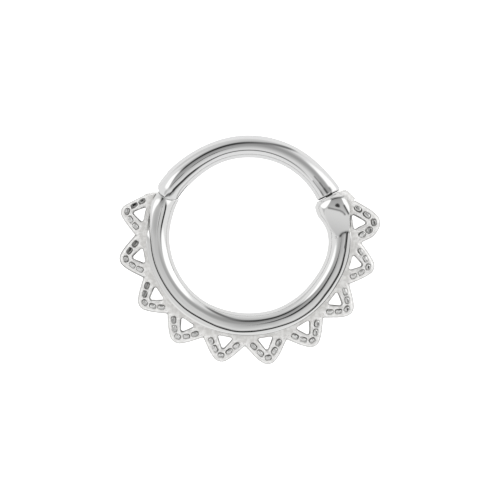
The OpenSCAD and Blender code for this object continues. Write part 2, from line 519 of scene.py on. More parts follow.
# %% Sections of the bar and the place of the pin
PIN_ANGLE = 147.6
PIN_R = 4.92
PIN_TURN = Matrix.Rotation(math.radians(PIN_ANGLE - 90), 4, "Z")
PIN_FRAME = Matrix.Translation(polar(PIN_R, PIN_ANGLE)) @ PIN_TURN
KNUCKLE_R = 0.743
SEAT_R = 0.79
SEAM = 26.1
BAR = [
    # angle, inner edge, outer edge, half height
    (26, 4.15, 5.53, 0.645), (28, 4.16, 5.52, 0.64), (33, 4.165, 5.475, 0.62), (40, 4.175, 5.42, 0.605),
    (48, 4.185, 5.395, 0.6), (60, 4.19, 5.39, 0.6), (110, 4.18, 5.39, 0.6), (122, 4.16, 5.42, 0.62),
    (130, 4.155, 5.465, 0.635), (138, 4.18, 5.535, 0.655), (147.6, 4.21, 5.62, 0.665),
    (158, 4.215, 5.69, 0.66),
]


def arc_angle(r, radius):
    """Where a circle about the pin meets the radius r, on the side away from the bar."""
    cosine = (r * r + PIN_R * PIN_R - radius * radius) / (2 * r * PIN_R)
    return PIN_ANGLE + math.degrees(math.acos(min(1.0, cosine)))


print("pin at", [round(v, 2) for v in PIN_FRAME.translation], "mm")

# %% [markdown]
# By the clasp the bar's colour is darkened along a few lines: painted dark reflections. Each line goes
# through a few points of the plan, dark in its middle and fading to both sides. At the other end the knuckle
# is filed down a little towards the tube, and its section is drawn to a soft ridge.

# %% Painted dark reflections and shape of the bar
BAR_DARK_REFLECTIONS = [
    # how dark the painted reflection is, half width, and the points that it goes through
    (1.0, 0.06, [(4.205, 2.25), (4.12, 2.37), (4.04, 2.48)]), (0.85, 0.045, [(4.04, 2.48), (3.8, 2.8)]),
    (0.6, 0.035, [(3.8, 2.8), (3.52, 3.13)]), (0.9, 0.036, [(4.0, 2.1), (3.86, 2.33)]),
    (0.7, 0.03, [(3.86, 2.33), (3.45, 2.9)]), (0.7, 0.06, [(4.42, 2.39), (4.33, 2.52)]),
]
DARK_REFLECTIONS_END = 46
KNUCKLE_RIDGE = 0.3
KNUCKLE_FALL = 0.24
FALL_FROM = 0.1


def line_distance(p, points):
    nearest = 9.0
    for first, last in zip(points, points[1:]):
        a, b = Vector(first), Vector(last)
        t = min(1.0, max(0.0, (p - a).dot(b - a) / (b - a).length_squared))
        nearest = min(nearest, (p - a.lerp(b, t)).length)
    return nearest


def painted_darkness(p, marks):
    """How dark the painted dark lines make a point of the plan."""
    return max(dark * math.exp(-((line_distance(p, points) / wide) ** 2)) for dark, wide, points in marks)


def shape_bar(bm, first, last, bend_from, painted_dark):
    for vert in bm.verts:
        a = ring_angle(vert.co, first)
        side = (vert.co.xy.length - RING_R) / WIRE_R
        inner, outer, high = (smooth_value(BAR, a, column) for column in (1, 2, 3))
        r = (inner + outer) / 2 + side * (outer - inner) / 2
        ridge = 1 - KNUCKLE_RIDGE * step_up(a, 138, 158)
        z = high * math.copysign(1 - max(0.0, 1 - abs(vert.co.z) / WIRE_R) ** ridge, vert.co.z)
        if a > bend_from:
            share = (a - bend_from) / (last - bend_from)
            a = bend_from + share * (arc_angle(r, KNUCKLE_R) - bend_from)
        beyond = (polar(r, a) - polar(PIN_R, PIN_ANGLE)).dot(polar(1, PIN_ANGLE + 90))
        z *= 1 - KNUCKLE_FALL * max(0.0, (beyond - FALL_FROM) / (KNUCKLE_R - FALL_FROM)) ** 2
        vert.co = polar(r, a, z)
        # Painted dark reflections on the upper side of the bar by the clasp.
        if z > 0 and a < DARK_REFLECTIONS_END:
            vert[painted_dark] = painted_darkness(vert.co.xy, BAR_DARK_REFLECTIONS)


print("streaks by the clasp:", len(BAR_DARK_REFLECTIONS))

# %% [markdown]
# Both ends are closed by extruding their open loops. The clasp end gets a small round edge and the peg that
# clicks into the bud. The hinge end is closed along its arc: the upper half of its rim is extruded straight
# down onto the lower half. The fork's slot and the bore of the pin are then cut with two plain bodies, as a
# file and a drill would do it.

# %% Closing ends and cutting
FORK_GAP = 0.52
FORK_DEPTH = 0.5
LATCH_AT = polar(RING_R, SEAM)


def close_with_peg(bm, loop, out, radius, length, edge, painted_dark):
    """Rounds the edge of an end, draws its face in to a small circle and pushes that circle out as a peg,
    or in as a socket where the length is below 0."""
    middle = sum((v.co for v in loop), Vector()) / len(loop)
    sides = [v.co - middle for v in loop]
    flat = [side - out * side.dot(out) for side in sides]
    for turn in (22, 45, 67, 90):
        rise = edge * math.sin(math.radians(turn))
        cut = edge * (1 - math.cos(math.radians(turn)))
        loop = next_loop(bm, loop, [middle + f * (1 - cut / f.length) + out * rise for f in flat])
        # From the rounded edge on, the end is painted dark: painted shade of the gap at the clasp.
        for vert in loop:
            vert[painted_dark] = 0.95 if turn > 50 else 0.0
    centre = LATCH_AT + out * (middle + out * edge - LATCH_AT).dot(out)
    way = 1 if length > 0 else -1
    circle = [(middle + f - centre).normalized() * radius for f in flat]
    loop = next_loop(bm, loop, [centre + c * 1.15 for c in circle])
    loop = next_loop(bm, loop, [centre + c + out * 0.03 * way for c in circle])
    loop = next_loop(bm, loop, [centre + c + out * (length - 0.06 * way) for c in circle])
    loop = next_loop(bm, loop, [centre + c * 0.7 + out * length for c in circle])
    fill_loop(bm, loop)


def close_straight_down(bm, loop):
    """Closes an end whose rim is the same above and below, with a wall that is straight up and down."""
    upper = [bm.edges.get((loop[i - 1], loop[i])) for i in range(len(loop))]
    upper = [e for e in upper if min(v.co.z for v in e.verts) > -1e-5]
    made = bmesh.ops.extrude_edge_only(bm, edges=upper)["geom"]
    for vert in made:
        if isinstance(vert, bmesh.types.BMVert):
            vert.co.z *= -1
    bmesh.ops.remove_doubles(bm, verts=bm.verts[:], dist=1e-4)


def cut_away(bm, *cutters):
    """Cuts the cutters' bodies out of a closed body, and gives back the body that is left."""
    made = []
    for body in (bm, *cutters):
        bmesh.ops.recalc_face_normals(body, faces=body.faces[:])
        made.append(bpy.data.objects.new("blank", to_mesh(body, "blank")))
        bpy.context.scene.collection.objects.link(made[-1])
    for cutter in made[1:]:
        boolean = made[0].modifiers.new("cut", "BOOLEAN")
        boolean.operation = "DIFFERENCE"
        boolean.solver = "EXACT"
        boolean.object = cutter
    view = bpy.context.evaluated_depsgraph_get()
    left = bmesh.new()
    left.from_mesh(made[0].evaluated_get(view).to_mesh())
    for blank in made:
        bpy.data.meshes.remove(blank.data)
    return left


print(f"the fork's slot is {FORK_GAP} mm wide and the peg stands at {LATCH_AT.x:.2f}, {LATCH_AT.y:.2f} mm")

# %% [markdown]
# Now the bar itself, in the order of the bench: bend it, close both ends, saw the slot of the fork and drill
# the bore. The marks are a layer of the bmesh, and a new layer comes before any list of vertices, because
# making one renews them all.

# %% The bar
PIN_BORE = 0.252
PEG_R, PEG_LENGTH, PEG_EDGE = 0.2, 0.34, 0.13


def build_bar():
    first, last = SEAM + 1.6, 158.0
    bm = spun_wire(first, last, 144, 220)
    painted_dark = bm.verts.layers.float.new("painted_dark")
    far = [v for v in bm.verts if ring_angle(v.co, 0) > last - 0.01]
    near = [v for v in bm.verts if ring_angle(v.co, 0) < first + 0.01]
    shape_bar(bm, first, last, 140.0, painted_dark)
    rim = open_loop_at(bm, lambda v: v in near)
    close_with_peg(bm, rim, polar(1, SEAM - 90), PEG_R, PEG_LENGTH, PEG_EDGE, painted_dark)
    close_straight_down(bm, open_loop_at(bm, lambda v: v in far))
    slot = bmesh.new()
    size = Matrix.Diagonal((2 + FORK_DEPTH, 3, FORK_GAP, 1))
    middle = Matrix.Translation((FORK_DEPTH / 2 - 1, 0, 0))
    bmesh.ops.create_cube(slot, size=1, matrix=PIN_FRAME @ middle @ size)
    bore = bmesh.new()
    round_bar = {"cap_ends": True, "segments": 48, "radius1": PIN_BORE, "radius2": PIN_BORE}
    place = PIN_FRAME @ Matrix.Translation((0, 0, -0.55))
    bmesh.ops.create_cone(bore, matrix=place, depth=2, **round_bar)
    return cut_away(bm, slot, bore)


make_piece("plain_bar", build_bar(), bar_finish, "bar", "hinged_bar", sharp=35)

# %% [markdown]
# ## The hinge pin
#
# The pin goes through the fork from the back and ends blind under the bar's skin, so the front shows nothing
# of it. On the back its end is a little disc in a hair-thin ring.

# %% The pin
PIN_WIRE = 0.244
PIN_LENGTH = 1.05


def build_pin():
    bm = bmesh.new()
    round_bar = {"cap_ends": True, "segments": 48, "radius1": PIN_WIRE, "radius2": PIN_WIRE}
    place = PIN_FRAME @ Matrix.Translation((0, 0, -0.105))
    bmesh.ops.create_cone(bm, matrix=place, depth=PIN_LENGTH, **round_bar)
    level = [e for e in bm.edges if abs(e.verts[0].co.z - e.verts[1].co.z) < 1e-6]
    rims = [e for e in level if len(e.link_faces) == 2]
    bmesh.ops.bevel(bm, geom=rims, offset=0.05, segments=4, profile=0.5, affect="EDGES", material=-1)
    return bm


make_piece("hinge_pin_end", build_pin(), bar_finish, "bar", "hinge_pin")

# %% [markdown]
# ## The cast tube and its bud
#
# The fixed part starts as a round wire too, but its section isn't a circle. Towards the middle of the ring
# it is round. Towards the triangles it is flat on top and falls off over a shoulder, where the polishing
# wheel couldn't go deeper. So its top line isn't over the middle. Both halves follow a superellipse: with an
# exponent of 2 that is an ellipse, and with 3 or 4 it gets squarer. At the clasp the tube grows into a
# leaf-shaped bud.

# %% Sections of the tube
TUBE = [
    # angle, top line from the middle, inner edge, outer half width from the top line, half height,
    # squareness of the outer half, squareness of the inner half
    (155, 0.0, 4.216, 0.78, 0.66, 1.5, 1.65), (161, 0.0, 4.23, 0.76, 0.64, 2.1, 1.9),
    (167, 0.0, 4.24, 0.66, 0.62, 3.0, 2.0), (175, 0.02, 4.27, 0.53, 0.605, 3.8, 2.0),
    (185, -0.02, 4.3, 0.53, 0.6, 4.5, 2.0), (200, -0.02, 4.305, 0.52, 0.6, 5.0, 2.0),
    (220, -0.02, 4.308, 0.52, 0.6, 5.0, 2.0), (238, -0.02, 4.297, 0.52, 0.6, 5.0, 2.0),
    (245, 0.01, 4.265, 0.5, 0.6, 4.2, 2.0), (254, 0.04, 4.235, 0.57, 0.6, 3.0, 2.0),
    (263, 0.05, 4.22, 0.65, 0.6, 2.8, 2.0), (272, 0.03, 4.216, 0.62, 0.6, 2.8, 2.0),
    (281, 0.0, 4.23, 0.62, 0.6, 2.8, 2.0), (290, 0.01, 4.245, 1.0, 0.6, 2.15, 2.0),
    (298, 0.025, 4.238, 1.25, 0.6, 2.0, 2.0), (315, 0.025, 4.238, 1.25, 0.6, 2.0, 2.0),
    (325, 0.025, 4.243, 1.25, 0.6, 2.0, 2.0), (335, 0.025, 4.29, 1.25, 0.6, 2.0, 2.0),
    (347, 0.025, 4.332, 1.2, 0.6, 2.0, 2.0), (353, 0.04, 4.33, 0.6, 0.6, 2.6, 2.0),
    (358, 0.06, 4.29, 0.55, 0.6, 3.1, 2.0), (361, 0.09, 4.25, 0.57, 0.612, 3.0, 2.2),
    (364, 0.16, 4.195, 0.54, 0.645, 2.8, 2.7), (368, 0.3, 4.09, 0.46, 0.71, 2.7, 3.1),
    (372, 0.4, 3.957, 0.41, 0.775, 3.4, 3.2), (375, 0.39, 3.87, 0.43, 0.825, 4.2, 3.1),
    (378, 0.31, 3.85, 0.49, 0.866, 4.4, 3.0), (380.5, 0.24, 3.855, 0.53, 0.866, 4.0, 2.9),
    (382.5, 0.16, 3.87, 0.57, 0.845, 3.0, 2.6), (384, 0.08, 3.945, 0.61, 0.78, 2.3, 2.2),
    (385.5, 0.03, 4.08, 0.62, 0.68, 2.0, 2.0),
]
BUD_TOP = [
    # angle, half height of the bud's upper half before its facets are cut
    (355, 0.6), (358, 0.63), (361, 0.7), (364, 0.78), (368, 0.85), (372, 0.875), (378, 0.89), (381.5, 0.885),
    (383, 0.85), (384, 0.79), (385.5, 0.67),
]
LEAN = [(172, 0.0), (185, 0.12), (238, 0.13), (255, 0.05), (270, 0.0)]
section_cache = {}


def section_at(a):
    """The rows of LINE, TUBE and CREASE at an angle. Each angle is worked out once and kept."""
    key = round(a, 3)
    if key not in section_cache:
        tube = [smooth_value(TUBE, a, column) for column in range(1, 7)]
        crease = [smooth_value(CREASE, a, column) for column in (1, 2)]
        section_cache[key] = (smooth_value(LINE, a), tube, crease, smooth_value(BUD_TOP, a))
    return section_cache[key]


print("sections of the tube:", len(TUBE))

# %% [markdown]
# Between the polished tube and the rough flange runs a crease, darkened with painted shade, and beyond it
# a narrow lip, lightened with a painted highlight. The crease is part of the tube's section: from the top
# line the section follows its superellipse to the brink, drops into the crease, climbs over the lip and goes
# down inside the flange. The share of the way, u, is 0 at the top and 1 at the side.

# %% The crease
CREASE = [
    # angle, distance of the crease from the middle, how dark its painted shade is
    (158, 0.47, 0.0), (175, 0.39, 0.0), (186, 0.335, 0.25), (197, 0.33, 0.45), (227, 0.325, 0.65),
    (239, 0.302, 0.7), (245, 0.317, 0.7), (251, 0.362, 0.7), (257, 0.392, 0.8), (263, 0.422, 0.75),
    (269, 0.402, 0.8), (281, 0.367, 0.6), (287, 0.372, 0.6), (293, 0.397, 0.62), (300, 0.435, 0.6),
    (311, 0.447, 0.7), (317, 0.422, 0.85), (323, 0.395, 0.95), (335, 0.41, 1.0), (341, 0.387, 1.0),
    (348, 0.347, 0.9), (354, 0.35, 0.85), (359, 0.382, 0.95), (364, 0.48, 0.9), (367, 0.53, 0.0),
]
LIP_END = 0.64
BRINK = 0.045


def crease_point(u, top, outer, high, square, crease):
    """Distance from the top line and height of the section with its crease."""
    brink = crease - top - BRINK
    across = brink * math.sin(math.pi * min(u, 0.5))
    z = high * (1 - (across / outer) ** square) ** (1 / square)
    if u <= 0.5:
        return across, z
    end = LIP_END - top
    rows = [
        (0.5, brink, z), (0.55, brink + 0.018, z - 0.018), (0.6, brink + 0.032, z - 0.06),
        (0.66, brink + 0.04, 0.43), (0.7, brink + 0.05, 0.42), (0.75, brink + 0.065, 0.455),
        (0.81, brink + 0.085, 0.471), (0.87, brink + 0.12, 0.4655), (0.93, end - 0.02, 0.442),
        (0.97, end, 0.41), (1.0, end, 0.0),
    ]
    return smooth_value(rows, u, 1), smooth_value(rows, u, 2)


wander = [row[1] for row in CREASE]
print("the crease is", min(wander), "to", max(wander), "mm outside the middle of the wire")

# %% [markdown]
# The upper side of the bud was filed by hand into facets, as a stone is cut. A small one lies nearly flat on
# top and takes the light. A long slope runs from it down to the tube, and two short bevels fall away beside
# it. Each facet is a surface over the plan, and the bud is the lowest of them, with a rounded minimum so
# that the corners are soft. Dark lines along some corners and at the foot of the slope are painted
# reflections.

# %% The bud's facets
TABLE_AT = Vector((4.746, 1.756))
TABLE_TOP = 0.862
BEVELS = [
    # a point of the upper edge (x, y), its height, steepness in degrees, direction it faces
    (5.087, 1.676, 0.85, 26, 21.7), (4.316, 1.67, 0.845, 21, 156),
]
FOOT = [(4.2, -0.16), (4.86, -0.1), (4.95, 0.03), (5.04, 0.1), (5.2, 0.14), (5.6, 0.17)]
PAINTED_DARK_LINES = [
    # how dark, half width, and the points that the line goes through
    (0.85, 0.045, [(4.27, 1.44), (4.6, 1.365), (4.88, 1.297), (5.05, 1.2), (5.146, 1.09)]),
    (0.95, 0.05, [(5.1, 1.57), (5.2, 1.39), (5.335, 1.14)]),
    (0.7, 0.045, [(4.42, 1.93), (4.75, 1.99), (5.02, 2.03), (5.18, 2.12)]),
    (0.95, 0.065, [(4.9, -0.06), (4.97, 0.04), (5.05, 0.1), (5.2, 0.14), (5.32, 0.15)]),
    (0.7, 0.035, [(4.87, -0.1), (4.87, -0.09)]),
]


def bud_facets(p):
    """Heights of the facets over a point of the plan: the table, the long slope and the bevels."""
    away = (p - TABLE_AT).length
    heights = [TABLE_TOP - 0.08 * (math.sqrt(away * away + 0.13) - 0.36)]
    down = 1.443 - 0.325 * (p.x - 4.249) - p.y
    heights.append(0.836 - 0.0216 * (p.x - 4.249) - 0.26 * down + 0.26 * min(down, 1.9) ** 2 / 3.8)
    for x, y, height, steep, facing in BEVELS:
        ahead = (p - Vector((x, y))).dot(polar(1, facing).xy)
        heights.append(height - math.tan(math.radians(steep)) * ahead)
    return heights


def soft_lowest(values, soft):
    """The smallest of the values, with the corner between them rounded."""
    lowest = values[0]
    for value in values[1:]:
        lowest = (lowest + value - math.sqrt((lowest - value) ** 2 + soft * soft)) / 2
    return lowest


print("dark lines on the bud:", len(PAINTED_DARK_LINES))

# %% [markdown]
# Every vertex of the spun wire now takes its place in the section at its angle. On the way it gets its
# painted marks: painted shade in the crease, and a painted highlight on the lip beyond it and on strips along
# the top line near the hinge. The bud's facets replace the upper side above the foot of the slope, with their
# painted dark reflections. The hinge end becomes a seat, an arc about the pin a little wider than the
# knuckle. At its outer edge the seat steps back more, because the bar swings over it.

# %% Shaping the tube
TUBE_HIGH = 0.6
BUD_FROM = 352
SEAT_FROM = 167.0
ROOM_FROM, ROOM, ROOM_SLOPE = 0.45, 0.65, 0.4


def crease_shade_and_highlight(a, across, off, dark, creased):
    """The painted shade and the painted highlight by the crease. Off is the distance beyond the crease's
    middle.
    """
    painted_dark = dark * math.exp(-((off / (0.038 + 0.022 * dark)) ** 4))
    if off < 0:
        return painted_dark, 0.5 * step_up(across, 0.08, 0.14) * step_up(a, 285, 297) * (1 - step_up(a, 345, 353))
    return painted_dark, creased * step_up(off, 0.035, 0.06) * (0.75 + 0.25 * step_up(dark, 0.75, 0.95))


def seat_angle(r):
    """Where the tube ends at a radius, with room for the opened bar at the outer edge."""
    beyond = r - PIN_R
    room = math.hypot(beyond, ROOM + ROOM_SLOPE * (beyond - ROOM_FROM)) if beyond > ROOM_FROM else 0
    return arc_angle(r, max(SEAT_R, room))


def shape_tube(bm, first, painted_dark, painted_highlight):
    for vert in bm.verts:
        a = ring_angle(vert.co, first)
        turn = math.atan2(vert.co.z, vert.co.xy.length - RING_R)
        middle, (top, inner, outer, high, square, inner_square), (crease, dark), bud_top = section_at(a)
        c, s = math.cos(turn), math.sin(turn)
        u = 1 - abs(turn) / (math.pi / 2)
        exponent = square if c > 0 else inner_square
        reach = (abs(c) ** exponent + abs(s) ** exponent) ** (-1 / exponent)
        half = outer if c > 0 else middle + top - inner
        across = half * reach * c
        z = high * reach * s
        tube_z = min(high, TUBE_HIGH) * reach * s
        creased = step_up(a, 160, 185) * (1 - step_up(a, 361, 369))
        if c > 0 and creased > 0:
            crease_across, height = crease_point(u, top, outer, min(high, TUBE_HIGH), square, crease)
            across += creased * (crease_across - across)
            if across > 0:
                height -= smooth_value(LEAN, a) * across * step_up(0.75 - u, 0, 0.1)
            tube_z = math.copysign(height, s)
            z += step_up(a, 160, 185) * (1 - step_up(a, 357, 367)) * (tube_z - z)
            off = top + crease_across - crease
            # Painted shade in the crease, and a painted highlight on the lip and on a band inside the brink.
            vert[painted_dark], vert[painted_highlight] = crease_shade_and_highlight(a, across, off, dark, creased)
        if s > 0:
            # A painted highlight along the top line near the hinge.
            near_top = math.exp(-(((across + 0.05) / 0.07) ** 4))
            top_highlight = near_top * step_up(a, 158, 163) * (1 - step_up(a, 180, 195))
            vert[painted_highlight] = max(vert[painted_highlight], top_highlight)
        r = middle + top + across
        if a > BUD_FROM and s > 0:
            p = polar(r, a).xy
            share = min(1.0, abs(across) / half)
            bulk = bud_top * (1 - share ** exponent) ** (1 / exponent) * min(1.0, (1 - abs(c)) / 0.001)
            above = step_up(p.y - smooth_value(FOOT, p.x), -0.025, 0.035)
            bud_z = soft_lowest([bulk, *bud_facets(p)], 0.012)
            z = tube_z + above * (bud_z - tube_z)
            # Painted dark reflections along the bud's corners and the foot of its slope replace the upper
            # side's marks.
            vert[painted_dark] = max(vert[painted_dark] * (1 - above), painted_darkness(p, PAINTED_DARK_LINES))
        if a < SEAT_FROM:
            share = (a - first) / (SEAT_FROM - first)
            seat = seat_angle(r)
            a = seat + share * (SEAT_FROM - seat)
            z *= 1 - 0.08 * max(0.0, 1 - share / 0.6) ** 2
        vert.co = polar(r, a, z)


print(f"the seat is {SEAT_R - KNUCKLE_R:.3f} mm wider than the knuckle")

# %% [markdown]
# The tongue that fits the fork is a flat tab with a round end and a hole. It is a ring of faces between two
# circles, raised to its thickness, and it stands in the tube's end as if cast there. The clasp end of the
# tube is closed like that of the bar, but with a socket in place of the peg.

# %% The tube, with the tongue that fits the fork
TONGUE_R = 0.46
TONGUE_HOLE = 0.28
TONGUE_HIGH = 0.44
SOCKET_R, SOCKET_DEPTH, SOCKET_EDGE = 0.26, 0.45, 0.09


def build_tongue():
    bm = bmesh.new()
    rim = bmesh.ops.create_circle(bm, segments=64, radius=TONGUE_R)["verts"]
    for vert in rim:
        if vert.co.x < 0:
            vert.co.x -= 0.9
    bmesh.ops.create_circle(bm, segments=64, radius=TONGUE_HOLE)
    bmesh.ops.bridge_loops(bm, edges=bm.edges[:])
    bmesh.ops.translate(bm, vec=(0, 0, -TONGUE_HIGH / 2), verts=bm.verts[:])
    raised = bmesh.ops.extrude_face_region(bm, geom=bm.faces[:])["geom"]
    raised = [v for v in raised if isinstance(v, bmesh.types.BMVert)]
    bmesh.ops.translate(bm, vec=(0, 0, TONGUE_HIGH), verts=raised)
    rims = [e for e in bm.edges if len(e.link_faces) == 2 and e.calc_face_angle() > 1.4]
    bmesh.ops.bevel(bm, geom=rims, offset=0.03, segments=3, profile=0.5, affect="EDGES", material=-1)
    bmesh.ops.transform(bm, matrix=PIN_FRAME, verts=bm.verts[:])
    return to_mesh(bm, "tongue")


def build_tube():
    first, last = 156.4, 384.7
    bm = spun_wire(first, last, 160, 480)
    painted_dark = bm.verts.layers.float.new("painted_dark")
    painted_highlight = bm.verts.layers.float.new("painted_highlight")
    near = [v for v in bm.verts if ring_angle(v.co, first) < first + 0.01]
    far = [v for v in bm.verts if ring_angle(v.co, first) > last - 0.01]
    shape_tube(bm, first, painted_dark, painted_highlight)
    close_straight_down(bm, open_loop_at(bm, lambda v: v in near))
    rim = open_loop_at(bm, lambda v: v in far)
    close_with_peg(bm, rim, polar(1, SEAM + 90), SOCKET_R, -SOCKET_DEPTH, SOCKET_EDGE, painted_dark)
    bm.from_mesh(build_tongue())
    return bm


make_piece("cast_tube", build_tube(), tube_finish, "ring", "ring_body", sharp=55)

# %% [markdown]
# ## The sunburst
#
# Ten pierced triangles stand on a flange round the tube, 22 degrees apart. One of them, with its share of
# the flange, is drawn as closed loops round its hole, like contour lines: each loop is extruded from the
# last. The first loop is half way down the hole's wall. The loops rise over the inner rim, dip into the
# channel that holds the pebbles, rise over the outer rim, go down the outer wall and come back under the
# plain back.
#
# In the triangle's own frame, x runs along the ring and y is the distance from the middle of the wire. Its
# outline is a straight root, a small fillet in the valley, a straight flank, a bulging leg and a round tip.

# %% The outline of a triangle
TEETH = 10
PITCH = 22
FIRST_TOOTH = 169
TIP = 2.19
TIP_ROUND = 0.5
LEG_ROUND = 2.3
TIP_TURN = math.radians(50)
SLOPE = math.radians(35)
ROOT_Y = 0.54
VALLEY_ROUND = 0.09
HALF = math.radians(PITCH / 2)


def heading(turn):
    return Vector((math.cos(turn), math.sin(turn)))


TIP_MIDDLE = Vector((0, TIP - TIP_ROUND))
LEG_MIDDLE = TIP_MIDDLE - (LEG_ROUND - TIP_ROUND) * heading(TIP_TURN)
OUTER_LINE = LEG_MIDDLE.dot(heading(SLOPE)) + LEG_ROUND


def local(r, turn):
    """The point at radius r, turned from the triangle's own radius."""
    return Vector((r * math.sin(turn), r * math.cos(turn) - RING_R))


def half_outline(out):
    """Points from the root by way of the valley to the tip, and whether each is on an open edge."""
    root = RING_R + ROOT_Y
    points = [(local(root, HALF * i / 12), False) for i in range(13)]
    valley = (OUTER_LINE + out + RING_R * math.sin(SLOPE)) / math.sin(HALF + SLOPE)
    middle = local(valley + VALLEY_ROUND / math.sin(HALF + SLOPE), HALF)
    floor = valley + VALLEY_ROUND * (1 / math.sin(HALF + SLOPE) - 1)
    points += [(local(root + (floor - root) * i / 6, HALF), False) for i in range(1, 6)]
    for i in range(4):
        turn = HALF + (math.pi / 2 - HALF - SLOPE) * i / 3
        points.append((middle - VALLEY_ROUND * Vector((math.sin(turn), math.cos(turn))), True))
    start = points[-1][0]
    end = LEG_MIDDLE + (LEG_ROUND + out) * heading(SLOPE)
    points += [(start.lerp(end, i / 12), True) for i in range(1, 13)]
    for i in range(1, 13):
        turn = SLOPE + (TIP_TURN - SLOPE) * i / 12
        points.append((LEG_MIDDLE + (LEG_ROUND + out) * heading(turn), True))
    for i in range(1, 9):
        turn = TIP_TURN + (math.pi / 2 - TIP_TURN) * i / 8
        points.append((TIP_MIDDLE + (TIP_ROUND + out) * heading(turn), True))
    return points


def outline(out=0.0):
    right = half_outline(out)
    left = [(Vector((-p.x, p.y)), edge) for p, edge in reversed(right[1:-1])]
    return right + left


print("outline of a triangle:", len(outline()), "points")

# %% [markdown]
# The hole is a smaller triangle with round corners: all points at less than a given distance from a core.
# Where a line from the middle of the hole crosses its edge is found by halving.

# %% The hole of a triangle
HOLE = [Vector((-0.45, 0.8)), Vector((0.45, 0.8)), Vector((0, 1.56))]
HOLE_ROUND = 0.1
HOLE_MIDDLE = Vector((0, 1.05))
INNER_R = 0.263
CORE = [HOLE_MIDDLE + (corner - HOLE_MIDDLE) * (1 - HOLE_ROUND / INNER_R) for corner in HOLE]


def from_hole(p):
    """Distance from the edge of the hole, above 0 outside it."""
    gaps = []
    inside = True
    for a, b in zip(CORE, CORE[1:] + CORE[:1]):
        side = b - a
        t = min(1.0, max(0.0, (p - a).dot(side) / side.length_squared))
        gaps.append((p - a - side * t).length)
        inside = inside and side.cross(p - a) >= 0
    return (-min(gaps) if inside else min(gaps)) - HOLE_ROUND


def hole_edge(towards):
    """The point of the hole's edge that is seen from its middle in a direction, found by halving."""
    near, far = 0.0, 1.0
    for _ in range(30):
        half = (near + far) / 2
        if from_hole(HOLE_MIDDLE + towards * half) > 0:
            far = half
        else:
            near = half
    return HOLE_MIDDLE + towards * far


print(f"the tip's metal is {TIP - hole_edge(Vector((0, 1))).y:.2f} mm wide")

# %% [markdown]
# The height of the top is worked out from two distances, one from the outer edge and one from the hole. Both
# rims slope away from the middle, so that they catch the light of the walls. Each pebble sits in a pocket of
# its own, and what is left between two pockets is a bridge of bright metal. The drum rubbed the high spots
# lighter and smoother. The pockets, the edge of the hole and the outline are darkened with painted shade.

# %% The relief of a triangle
FLANGE_TOP = 0.445
TOOTH_TOP = 0.4
BACK = -0.4
POCKET_DEPTH = 0.12
PEBBLES = [
    # x, y, long axis in degrees, half length, half width
    (0.68, 1.165, -54, 0.19, 0.128), (0.38, 1.56, -48, 0.19, 0.128), (0.0, 1.85, 0, 0.165, 0.13),
    (-0.38, 1.56, 48, 0.19, 0.128), (-0.68, 1.165, 54, 0.19, 0.128),
]


def from_outline(p):
    beside = Vector((abs(p.x), p.y))
    ahead = beside - TIP_MIDDLE
    if ahead.y > 0 and math.atan2(ahead.y, ahead.x) > TIP_TURN:
        return TIP_ROUND - ahead.length
    ahead = beside - LEG_MIDDLE
    if math.atan2(ahead.y, ahead.x) > SLOPE:
        return LEG_ROUND - ahead.length
    return OUTER_LINE - beside.dot(heading(SLOPE))


def pocket(p):
    """1 inside the pocket of a pebble, 0 on the metal round it."""
    nearest = 9.0
    for x, y, turn, long_way, wide in PEBBLES:
        axis = heading(math.radians(turn))
        off = p - Vector((x, y))
        along, aside = abs(off.dot(axis)), abs(off.cross(axis))
        reach = ((along / (long_way + 0.015)) ** 3 + (aside / (wide + 0.015)) ** 3) ** (1 / 3)
        nearest = min(nearest, reach)
    return 1 - step_up(nearest, 0.86, 1.1)


def relief(p):
    """Height of the top, its wear with shade, painted shade in pockets and at the hole, and shade along the
    outline.
    """
    outside = from_outline(p)
    hole = from_hole(p)
    sunk = pocket(p)
    z = FLANGE_TOP + (TOOTH_TOP - FLANGE_TOP) * step_up(p.y, 0.65, 1.1)
    z -= 0.085 * (1 - min(1.0, max(0.0, outside / 0.15))) ** 1.4
    z -= 0.06 * (1 - min(1.0, max(0.0, hole / 0.12))) ** 1.4 * step_up(p.y, 0.78, 0.95)
    # Rubbed lighter and smoother on the triangle, and darker in the pockets round the pebbles: wear and
    # painted shade.
    wear_with_shade = 0.35 + 0.65 * step_up(p.y, 0.75, 1.1) * (1 - sunk)
    # Painted shade in the pockets and at the hole's edge, and painted shade along the outline.
    hollow_shade = max(0.8 * sunk, 0.8 * math.exp(-((hole / 0.042) ** 2)))
    return z - POCKET_DEPTH * sunk, wear_with_shade, hollow_shade, 0.33 * math.exp(-((outside / 0.036) ** 2))


print("relief at the tip:", [round(v, 2) for v in relief(Vector((0, 1.9)))])

# %% [markdown]
# The loops are closer together where the surface bends more. Each point carries its place, its wear with
# painted shade, and how dark the painted shade makes the metal there.

# %% The loops of a triangle
SPREAD = [
    0, 0.03, 0.07, 0.12, 0.17, 0.21, 0.25, 0.29, 0.33, 0.38, 0.44, 0.5, 0.56, 0.62, 0.67, 0.71, 0.75,
    0.79, 0.83, 0.87, 0.905, 0.935, 0.96, 0.98, 1.0,
]
OUTER_WALL = [
    # how far outside the outline, height
    (0.015, 0.25), (0.035, 0.12), (0.05, -0.05), (0.05, -0.15), (0.035, -0.28), (0.015, BACK + 0.06),
]
# The hole's wall: some wear, darkened with painted shade, with no shade along the outline.
HOLE_WALL = (0.3, 0.6, 0)
EDGE = 0.06
EDGE_REACH = 0.8


def rounded_drop(distance):
    """How far a round edge has fallen at a distance from it."""
    inside = max(0.0, EDGE - distance)
    return EDGE - math.sqrt(max(0.0, EDGE * EDGE - inside * inside))


